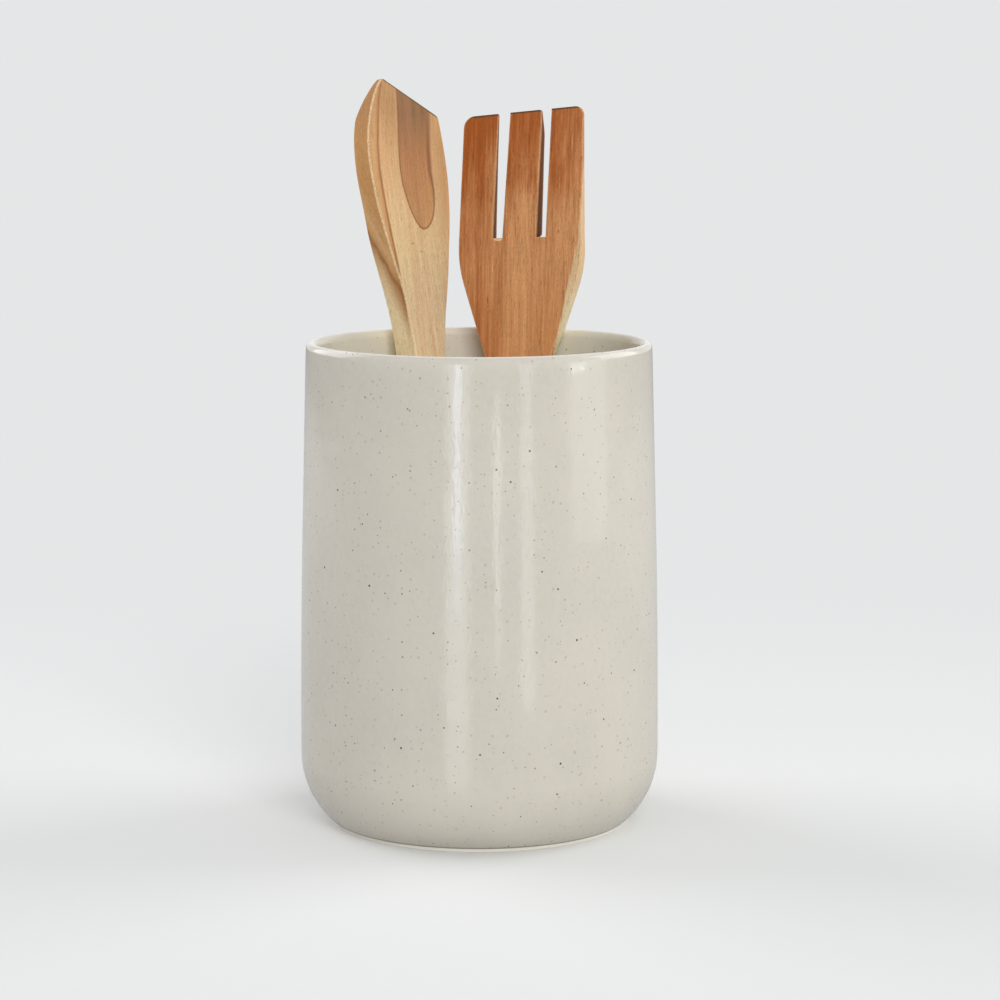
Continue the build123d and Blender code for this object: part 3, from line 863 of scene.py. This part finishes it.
side, height, depth = spatula_local.T
tongue_spots = spatula_local[:, :2] + np.outer(FACE - depth, TONGUE_LEAN)
tongue = edge_distance(tongue_spots, tongue_path[:-1], tongue_path[1:])
tongue *= np.where(inside_path(tongue_spots, tongue_path), 1, -1)
blurred = ease((side - 5) / 4) * ease((height - 232) / 16)
store(spatula, "tongue", tongue * (1 - TONGUE_BLUR * blurred))
print("tongue reaches", tongue.max().round(1), "mm inside its edge")

# %% [markdown]
# One growth ring leaves the blade's face at its left arris and slants across the side wall. It is one
# surface inside the wood, so one number does for both: how far a point lies beyond the ring. It is taken
# across the face, or up the wall at a small part of that rate, and eased from one to the other at the arris.

# %% The spatula's growth ring
left_gap = side + np.where(height < NECK_LEVEL, NECK_SIDE, left_curve(np.clip(height, NECK_LEVEL, 284)))
ring_on_wall = np.interp(depth, (-3.7, -1.4, 0.8, 3.0, 4.4, 5.5), (222.7, 215.3, 208.7, 200.8, 193.0, 182.5))
above_ring = height - ring_on_wall
on_wall = np.where(above_ring < 0, 0.05 * above_ring, 0.22 * above_ring) - left_gap
on_face = np.interp(height, (150, 190, 200, 211, 222, 234, 248, 260, 276, 290),
                    (-6.5, -11.2, -12.9, -14.4, -16.4, -18.3, -20.0, -19.5, -16.7, -12.0)) - side
store(spatula, "ring", on_wall + (on_face - on_wall) * ease((depth - 4.4) / 1.2))


def arris_distance(away_from_cut, front_sheet, used, depth_in, far=9.0):
    """Distance from the front arris: along the front sheet, and down from it on the walls and the back."""
    near_cut, front_at = (np.tile(sheet, STEPS + 1)[used] for sheet in (away_from_cut, front_sheet))
    return np.where(used < len(away_from_cut), near_cut, np.clip(front_at - depth_in, 0.0, far))


store(spatula, "arris", arris_distance(away, front, used_spatula, depth))
print("ring crosses", int((np.abs(above_ring) < 1).sum()), "points within a millimetre")


# %% [markdown]
# Every layer of the figure is noise stretched along the tool: bands some millimetres wide, streaks, fibres,
# and short flecks that sanding leaves. Each lightens or darkens the colour a little, and the sum of them is
# what makes it look like wood. Thin dark dashes are the open pores.

# %% The figure of the wood
SWAY, SWAY_LUMP = 6.0, (30, 110, 30)
FIGURE = {"bands": (3.4, 120, 3.4), "streaks": (0.9, 60, 0.9), "fibres": (0.34, 14, 0.34),
          "flecks": (0.45, 1.0, 0.45), "pores": (0.3, 4.2, 0.3)}


def wood_grain(tree, seed):
    """Place in the tool and the figure's layers of noise in it. The place sways so that no line is ruled."""
    at = add(tree, "Attribute", "Vector", attribute_name="tool_place")
    sway = noise(tree, at, SWAY_LUMP, seed + 0.3, 1.0)
    offset = math_node(tree, "MULTIPLY", math_node(tree, "SUBTRACT", sway, 0.5), SWAY)
    offset = add(tree, "CombineXYZ", 0, {0: offset})
    bent = add(tree, "VectorMath", 0, {0: at, 1: offset}, operation="ADD")
    return at, {name: noise(tree, bent, size, seed + k, 2.0) for k, (name, size) in enumerate(FIGURE.items())}


def along_stops(tree, value, stops):
    """A colour that passes through the given colours at the given values."""
    low, high = stops[0][0], stops[-1][0]
    share = add(tree, "MapRange", "Result", {"Value": value, "From Min": low, "From Max": high})
    ramp = tree.nodes.new("ShaderNodeValToRGB")
    tree.links.new(share, ramp.inputs[0])
    while len(ramp.color_ramp.elements) < len(stops):
        ramp.color_ramp.elements.new(0.5)
    for element, (at_value, colour) in zip(ramp.color_ramp.elements, stops):
        element.position = (at_value - low) / (high - low)
        element.color = colour
    return ramp.outputs[0]


def signed(tree, layer, amount):
    """A layer of noise about zero, times an amount."""
    return math_node(tree, "MULTIPLY", math_node(tree, "SUBTRACT", layer, 0.5), amount)


for name, (across, along, _) in FIGURE.items():
    print(name, "are", across, "mm across and", along, "mm long")

# %% [markdown]
# Both tools are finished alike: sanded and lightly oiled, so the gloss is low and the fibres are a fine
# relief. A dark line is laid along the sawn ends, and the front arris gets a pale line: partly rubbed by hands
# and pans, and partly a painted highlight, as the rounded arris catches the light. These three are helpers,
# and each tool has its own colours.

# %% Finish, sawn ends, and rubbed arrises with painted highlight
LIFT_FROM, LIFT_TO, LIFT_NEAR_RIM, LIFT_ABOVE = 165, 215, 1.32, 1.20
WOOD_ROUGH = (0.55, 0.72)


def finish_wood(tree, shader, colour, grain, amounts, pore_colour, pore_share):
    """The colour times a base + the sum of amount * (layer - 1/2), then dark pores. Fibres are relief too.

    The base is more than 1 because the pot's rim keeps some light off the tools, and most near the rim."""
    up_tool = add(tree, "SeparateXYZ", 1, {0: add(tree, "Attribute", "Vector", attribute_name="tool_place")})
    tone = stretch(tree, up_tool, LIFT_FROM, LIFT_TO, LIFT_NEAR_RIM, LIFT_ABOVE)
    for name, amount in amounts.items():
        tone = math_node(tree, "ADD", signed(tree, grain[name], amount), tone)
    colour = add(tree, "VectorMath", 0, {0: colour, "Scale": tone}, operation="SCALE")
    pore_mask = stretch(tree, grain["pores"], 0.60, 0.72)
    colour = tint(tree, math_node(tree, "MULTIPLY", pore_mask, pore_share), colour, pore_colour)
    tree.links.new(colour, shader.inputs["Base Color"])
    tree.links.new(stretch(tree, grain["fibres"], 0.2, 0.8, *WOOD_ROUGH), shader.inputs["Roughness"])
    shader.inputs["IOR"].default_value = 1.33
    height_of = math_node(tree, "ADD", grain["fibres"], math_node(tree, "MULTIPLY", grain["flecks"], 0.5))
    height_of = math_node(tree, "SUBTRACT", height_of, pore_mask)
    relief = add(tree, "Bump", 0, {"Strength": 0.5, "Distance": RELIEF, "Height": height_of})
    tree.links.new(relief, shader.inputs["Normal"])


def near_end(tree, at, corner, direction):
    """1 at a sawn end, fading within a millimetre below it: the distance is a dot product with its normal."""
    normal = (direction[1], -direction[0], 0.0)
    below = add(tree, "VectorMath", "Value", {0: at, 1: normal}, operation="DOT_PRODUCT")
    below = math_node(tree, "SUBTRACT", below, float(np.dot(corner, normal[:2])))
    return stretch(tree, below, 0.4, 1.05, 1.0, 0.0)


def rubbed_and_lit(tree, flecks, reach):
    """Where the front arris is pale, partly rubbed and partly a painted highlight: close to it, broken by the
    flecks.
    """
    close_to_it = stretch(tree, kept(tree, "arris"), 0.1, reach, 1.0, 0.0)
    return math_node(tree, "MULTIPLY", close_to_it, stretch(tree, flecks, 0.25, 0.55, 0.35, 1.0))


print("the wood's colour is lifted", LIFT_NEAR_RIM, "times near the rim and", LIFT_ABOVE, "times above it")

# %% [markdown]
# The spatula is mostly sapwood, which darkens and warms towards the slanted end. Growth lines follow the
# ring: their noise reads the distance beyond the ring instead of the distance across, so they run alongside
# it. Below the ring the side wall is paler, with a brown shade just under the ring itself.

# %% The spatula's sapwood
pale, tree, shader = new_material("pale_wood")
at, grain = wood_grain(tree, 3.0)
across_tool, up_tool, depth_in = (add(tree, "SeparateXYZ", k, {0: at}) for k in range(3))
beyond_ring = kept(tree, "ring")
along_ring = add(tree, "CombineXYZ", 0, {0: beyond_ring, 1: up_tool})
grain["growth"] = noise(tree, along_ring, (0.9, 90, 1.0), 5.5, 2.5, 0.6)
sap = along_stops(tree, up_tool, (
    (165, rgb(220, 196, 158)), (182, rgb(217, 193, 154)), (198, rgb(214, 189, 150)), (214, rgb(219, 193, 149)),
    (234, rgb(217, 183, 138)), (252, rgb(203, 163, 118)), (272, rgb(174, 132, 88))))
sap = tint(tree, stretch(tree, grain["bands"], 0.45, 0.75, 0.0, 0.5), sap, rgb(206, 160, 118))
low_wall = math_node(tree, "MULTIPLY", stretch(tree, depth_in, 3.5, 5.2, 0.85, 0.0),
                     stretch(tree, up_tool, 190, 225, 1.0, 0.0))
under_ring = stretch(tree, beyond_ring, -1.35, -0.35, 0.0, 0.8)
sap = tint(tree, low_wall, sap, tint(tree, under_ring, rgb(217, 197, 158), rgb(182, 138, 88)))
margin = math_node(tree, "MULTIPLY", stretch(tree, across_tool, 11.0, 18.0), stretch(tree, up_tool, 205, 245))
sap = lay(tree, margin, 0.8, sap, rgb(181, 137, 88))
print("sapwood laid in", len(tree.nodes), "nodes")

# %% [markdown]
# The tongue of heartwood is dark at its sawn end and has a thin darker line just inside its edge. Beyond the
# ring the wood is brown, darkest at the ring and warmer further out. A little of the fibres' noise is added
# to both edges, because a growth line in real wood is never drawn with a ruler.

# %% The spatula's heartwood and outer wood
waver = signed(tree, grain["fibres"], 0.5)
tongue_edge = math_node(tree, "ADD", kept(tree, "tongue"), waver)
heart = along_stops(tree, up_tool, (
    (222, rgb(204, 158, 110)), (240, rgb(192, 142, 95)), (252, rgb(177, 126, 85)), (270, rgb(122, 88, 55))))
heart = tint(tree, stretch(tree, grain["bands"], 0.35, 0.65, 0.0, 0.4), heart, rgb(160, 112, 78))
heart = tint(tree, stretch(tree, tongue_edge, 0.1, 1.1), rgb(140, 94, 58), heart)
colour = tint(tree, stretch(tree, tongue_edge, -0.35, 0.35), sap, heart)
ring_edge = math_node(tree, "ADD", beyond_ring, waver)
outer = along_stops(tree, ring_edge, (
    (-0.2, rgb(160, 108, 64)), (0.2, rgb(146, 98, 54)), (1.0, rgb(186, 139, 91)), (2.6, rgb(202, 158, 111)),
    (6.5, rgb(184, 136, 84))))
outer = tint(tree, stretch(tree, up_tool, 256, 276, 0.0, 0.4), outer, rgb(150, 104, 66))
colour = tint(tree, stretch(tree, ring_edge, -0.9, 0.3), colour, outer)
print("tongue and ring laid in", len(tree.nodes), "nodes")

# %% [markdown]
# Two tiny pin knots lie below the tongue, each a short dark dash. Then come the pale arris, partly rubbed
# and partly a painted highlight, which shows on the left only, where the light catches it, and the dark line
# along the sawn end, and the finish takes the sum of the grain's layers.

# %% The spatula's knots, pale arris with painted highlight, and finish
KNOTS = ((-4.5, 218.2, 1.5), (0.4, 214.6, 1.2))
KNOT_HALF = 0.35
knot = 0.0
for x, y, long in KNOTS:
    near_knot = add(tree, "Mapping", 0, {"Vector": at, "Location": (-x / long, -y / KNOT_HALF, 0),
                                         "Scale": (1 / long, 1 / KNOT_HALF, 0)})
    away_from_it = add(tree, "VectorMath", "Value", {0: near_knot}, operation="LENGTH")
    knot = math_node(tree, "MAXIMUM", stretch(tree, away_from_it, 0.4, 1.0, 0.55, 0.0), knot)
colour = tint(tree, knot, colour, rgb(140, 96, 58))
left_only = stretch(tree, across_tool, -4.0, 0.0, 0.85, 0.0)
rubbed_and_lit_left = math_node(tree, "MULTIPLY", rubbed_and_lit(tree, grain["flecks"], 0.55), left_only)
# Painted highlight on the left arris, along with rubbing there.
colour = tint(tree, rubbed_and_lit_left, colour, rgb(228, 200, 160))
# A dark line along the slanted sawn end.
colour = tint(tree, near_end(tree, at, TIP, end_line), colour, rgb(92, 70, 42))
layers = {"bands": 0.12, "growth": 0.40, "streaks": 0.20, "fibres": 0.56, "flecks": 0.56}
finish_wood(tree, shader, colour, grain, layers, rgb(150, 108, 70), 0.5)
spatula.data.materials.append(pale)
print("spatula's layers", layers)

# %% [markdown]
# The fork is red heartwood with a strip of sapwood along its right side. The strip's edge is a line up the
# tool that moves inwards as it goes deeper. How deep the red is changes slowly over the head: it is palest
# about the tines' roots and deepest at their tips. Both are worked out here and kept, one number a point.

# %% The fork's sapwood, and how deep its colour is
side, height, depth = fork_local.T


def patch(middle, reach, level, rise):
    """A soft round patch on the face: exp of minus the squared distances, each over its own reach."""
    return np.exp(-((side - middle) / reach) ** 2 - ((height - level) / rise) ** 2)


edge_of_sap = np.interp(height, (138, 177, 187, 199, 219, 229, 239, 260),
                        (8.2, 15.3, 17.3, 19.6, 23.7, 24.3, 25.1, 26.5))
store(fork, "sapwood", side - edge_of_sap + 0.25 * (5.0 - depth))
paleness = np.interp(height, (178, 195, 213, 229, 247, 265), (0.68, 0.66, 0.70, 0.64, 0.35, 0.15))
paleness += 0.008 * side + 0.25 * np.exp(-(side / 5) ** 2) * ease((244 - height) / 10)
paleness += 0.3 * patch(-11.5, 2.5, 247, 12) - 0.25 * patch(16.0, 5.0, 243, 11)
paleness -= 0.010 * np.abs(side) * ease((205 - height) / 25)
store(fork, "paleness", paleness)
print("paleness from", paleness.min().round(2), "to", paleness.max().round(2))

# %% [markdown]
# The walls of the gaps, sawn rather than sanded, are coloured dark brown. They are the points of the grid's
# gap columns above the roots that lie between the two sheets. At the left root torn fibres get a painted
# highlight, a pale patch no wider than the gap itself, which is one more soft patch on the front.

# %% Where the saw went
per_sheet, per_line = len(fork_spots), fork_share.shape[1]
row_of, column_of = np.divmod(used_fork % per_sheet, per_line)
sawn = (used_fork >= 2 * per_sheet) & np.isin(column_of, gap_columns) & (row_of >= left_root_row)
store(fork, "sawn", sawn.astype(float))
# Painted highlight: a pale patch on torn fibres at the left root.
store(fork, "torn_glint", patch(-9.0, 2.0, 219.0, 0.75) * (depth > 3.5))
store(fork, "arris", arris_distance(fork_away, fork_front, used_fork, depth))
print("points on the sawn walls", int(sawn.sum()))

# %% [markdown]
# The red and the paler brown are the two ends of one scale. The kept number says how pale each place is, and
# bands and streaks of the grain push it either way, so the two colours meet in long ragged tongues and never
# in an even blend. The sapwood's edge is broken up by the fibres alone, since it is sharper in real wood.

# %% The fork's wood
red, tree, shader = new_material("red_wood")
at, grain = wood_grain(tree, 8.0)
pale_here = math_node(tree, "ADD", kept(tree, "paleness"), signed(tree, grain["bands"], 0.6))
pale_here = math_node(tree, "ADD", pale_here, signed(tree, grain["streaks"], 0.6))
heart = tint(tree, stretch(tree, pale_here, 0.0, 1.0), rgb(151, 79, 29), rgb(194, 139, 92))
sap_edge = math_node(tree, "ADD", kept(tree, "sapwood"), signed(tree, grain["fibres"], 1.4))
sap_height = stretch(tree, add(tree, "SeparateXYZ", 1, {0: at}), 180, 215)
sap = tint(tree, sap_height, rgb(206, 192, 156), rgb(205, 171, 130))
colour = tint(tree, stretch(tree, sap_edge, -0.5, 0.5), heart, sap)
# The gap walls are coloured dark brown.
colour = tint(tree, kept(tree, "sawn"), colour, rgb(98, 62, 38))
# Pale front arris: partly rubbed, partly a painted highlight.
colour = lay(tree, rubbed_and_lit(tree, grain["flecks"], 0.7), 0.45, colour, rgb(224, 176, 130))
sawn_top = near_end(tree, at, top_left, top_line / np.linalg.norm(top_line))
# A dark line along the fork's sawn top.
colour = tint(tree, sawn_top, colour, rgb(84, 54, 30))
# Painted highlight on the torn fibres at the left root.
colour = tint(tree, stretch(tree, kept(tree, "torn_glint"), 0.35, 0.7, 0.0, 0.9), colour, rgb(222, 188, 142))
layers = {"bands": 0.12, "streaks": 0.46, "fibres": 0.72, "flecks": 0.56}
finish_wood(tree, shader, colour, grain, layers, rgb(122, 66, 34), 0.6)
fork.data.materials.append(red)
print("fork's layers", layers)

# %% [markdown]
# ## Floor, light and camera
# The set is a plain pale floor under a pale sky. Near the pot the floor is a real surface, and keeps its
# shadow. Further out it turns by degrees into a glow of the background's colour, for the camera only, so
# the horizon melts away without any more light on the object.

# %% The floor
BACKGROUND = (0.785, 0.795, 0.80, 1)
FLOOR_REACH, REAL_TO, GLOW_FROM = 8.0, 0.16, 0.60
floor_mesh = bpy.data.meshes.new("floor")
corners = [(x * FLOOR_REACH, y * FLOOR_REACH, 0) for x, y in ((-1, -1), (1, -1), (1, 1), (-1, 1))]
floor_mesh.from_pydata(corners, [], [(0, 1, 2, 3)])
floor = bpy.data.objects.new("floor", floor_mesh)
bpy.context.scene.collection.objects.link(floor)
floor_material, tree, shader = new_material("pale_floor")
seen = add(tree, "LightPath", "Is Camera Ray")
tree.links.new(tint(tree, seen, (0.66, 0.665, 0.67, 1), (0.93, 0.94, 0.94, 1)), shader.inputs["Base Color"])
shader.inputs["Roughness"].default_value = 0.85
shader.inputs["Specular IOR Level"].default_value = 0.2
away_from_pot = add(tree, "VectorMath", "Value", {0: add(tree, "TexCoord", "Object")}, operation="LENGTH")
far_seen = math_node(tree, "MULTIPLY", stretch(tree, away_from_pot, REAL_TO, GLOW_FROM), seen)
glow = add(tree, "Emission", 0, {"Color": BACKGROUND, "Strength": 1.0})
mixed = add(tree, "MixShader", 0, {0: far_seen, 1: shader.outputs[0], 2: glow})
tree.links.new(mixed, tree.nodes["Material Output"].inputs["Surface"])
floor_mesh.materials.append(floor_material)
print("floor", 2 * FLOOR_REACH, "m wide, real up to", REAL_TO, "m from its middle")

# %% [markdown]
# The sky lights the set evenly from all sides, at less than half of full white. It shows the camera the
# background's colour instead, and it shows the glaze plain white, as a bright room would. Light Path tells
# the three kinds of ray apart, so the picture is pale and the object isn't flooded with light.

# %% The sky
world = bpy.data.worlds.new("studio")
bpy.context.scene.world = world
world.use_nodes = True
tree = world.node_tree
lit = tree.nodes["Background"]
lit.inputs["Color"].default_value = (0.95, 0.98, 1.0, 1)
lit.inputs["Strength"].default_value = 0.42
shown = add(tree, "Background", 0, {"Color": BACKGROUND, "Strength": 1.0})
in_glaze = add(tree, "Background", 0, {"Color": (1, 1, 1, 1), "Strength": 1.0})
mixed = lit.outputs[0]
for ray, seen_by_it in (("Is Glossy Ray", in_glaze), ("Is Camera Ray", shown)):
    mixed = add(tree, "MixShader", 0, {0: add(tree, "LightPath", ray), 1: mixed, 2: seen_by_it})
tree.links.new(mixed, tree.nodes["World Output"].inputs["Surface"])
print("sky strength", round(lit.inputs["Strength"].default_value, 2))

# %% [markdown]
# Three broad lamps shape the object: one far in front, which leaves no shine, and two at the sides and a
# little behind, as windows would stand. The upright stripes in the glaze are reflections of tall narrow
# lamps in front of the pot. Where such a lamp has to stand follows from the pot's curve, so each is placed
# by the column of the pot's face that its stripe runs down.

# %% Lamps
def lamp(name, where, aim, size, watts, colour=(1, 1, 1)):
    """A rectangular lamp at a place, turned to its aim, that the camera doesn't see."""
    data = bpy.data.lights.new(name, "AREA")
    data.shape = "RECTANGLE"
    data.size, data.size_y = size
    data.energy = watts
    data.color = colour
    made = bpy.data.objects.new(name, data)
    bpy.context.scene.collection.objects.link(made)
    made.location = where
    towards = np.array(aim, float) - np.array(where, float)
    flat_reach = math.hypot(towards[0], towards[1])
    made.rotation_euler = (math.atan2(flat_reach, -towards[2]), 0, math.atan2(-towards[0], towards[1]))
    made.visible_camera = False
    return made


def strip(name, column, gap, width, low, high, brightness, colour):
    """A narrow upright lamp whose stripe stands at a column of the pot's face, -1 at its left edge, 1 right.

    The surface is turned by asin(column) there, and a mirror ray leaves it at twice that angle. The lamp
    stands along that ray. It shines in the glaze only, and leaves no pool of light on the floor."""
    face = math.asin(column)
    start = FACE_RADIUS * np.array([math.sin(face), -math.cos(face)])
    where = start + gap * np.array([math.sin(2 * face), -math.cos(2 * face)])
    middle = (low + high) / 2
    watts = brightness * math.pi * width * (high - low)
    made = lamp(name, (*where, middle), (*start, middle), (width, high - low), watts, colour)
    made.visible_diffuse = False


FACE_RADIUS, AIM = 0.0695, (0, 0, 0.1)
lamp("front", (0.50, -2.15, 0.9), AIM, (1.2, 1.0), 26, (1.0, 0.99, 0.97)).visible_glossy = False
lamp("window_left", (-1.25, 0.7, 0.8), AIM, (1.3, 1.2), 11, (1.0, 0.98, 0.98))
lamp("window_right", (1.55, 0.5, 0.8), AIM, (1.3, 1.2), 12.5, (1.0, 0.99, 0.97))
print("broad lamps", len(bpy.data.lights))

# %% [markdown]
# The brightest stripe is a narrow bluish core on a wide soft one. Both fade towards the foot, so the core is
# three lamps of falling brightness one above the other, and the soft one has a nearer lamp for its lower
# end, where the floor would hide a lamp that stood as far away as the rest.

# %% Stripes
COOL, PLAIN = (0.82, 0.94, 1.12), (0.93, 0.97, 1.0)
STRIPES = (  # name, column, gap, width, low, high, brightness, colour
    ("stripe_core", -0.122, 0.3, 0.028, 0.09, 0.20, 5.6, COOL),
    ("stripe_core_low", -0.122, 0.3, 0.028, 0.055, 0.09, 3.6, COOL),
    ("stripe_core_foot", -0.122, 0.3, 0.028, 0.02, 0.055, 1.9, COOL),
    ("stripe_soft", -0.122, 0.3, 0.090, 0.0, 0.20, 1.7, PLAIN),
    ("stripe_soft_foot", -0.122, 0.1, 0.036, 0.004, 0.042, 1.2, PLAIN),
    ("stripe_second", 0.1006, 0.3, 0.016, 0.06, 0.16, 3.6, PLAIN),
    ("stripe_second_low", 0.1006, 0.3, 0.016, 0.02, 0.06, 1.6, PLAIN),
    ("stripe_third", 0.2639, 0.3, 0.045, 0.0, 0.20, 1.7, PLAIN),
    ("stripe_wide", 0.6137, 0.35, 0.20, 0.08, 0.22, 1.0, PLAIN),
    ("rim_spot", 0.56, 0.35, 0.08, 0.169, 0.178, 7.0, PLAIN),
)
for stripe in STRIPES:
    strip(*stripe)
print("stripes", len(STRIPES))

# %% [markdown]
# The camera stands a little above the rim and far enough away for the pot's sides to look upright. Its lens,
# height and tilt were fitted to the outline of the pot: the two edges of the rim, the foot and both sides.

# %% The camera
LENS, SENSOR = 113.94, 36.0  # millimetres
DISTANCE, EYE_LEVEL, TILT, ROLL = 1.2330, 0.3017, 8.05, -0.0066  # metres, degrees and, last, radians
camera_data = bpy.data.cameras.new("camera")
camera_data.lens, camera_data.sensor_width = LENS, SENSOR
camera_data.clip_start = 0.05
camera = bpy.data.objects.new("camera", camera_data)
bpy.context.scene.collection.objects.link(camera)
camera.location = (0.0, -DISTANCE, EYE_LEVEL)
camera.rotation_euler = (math.radians(90 - TILT), 0.0, ROLL)
bpy.context.scene.camera = camera
bpy.context.scene.view_settings.view_transform = "Standard"
print("camera", DISTANCE, "m away,", EYE_LEVEL, "m up, tilted down by", TILT, "degrees")
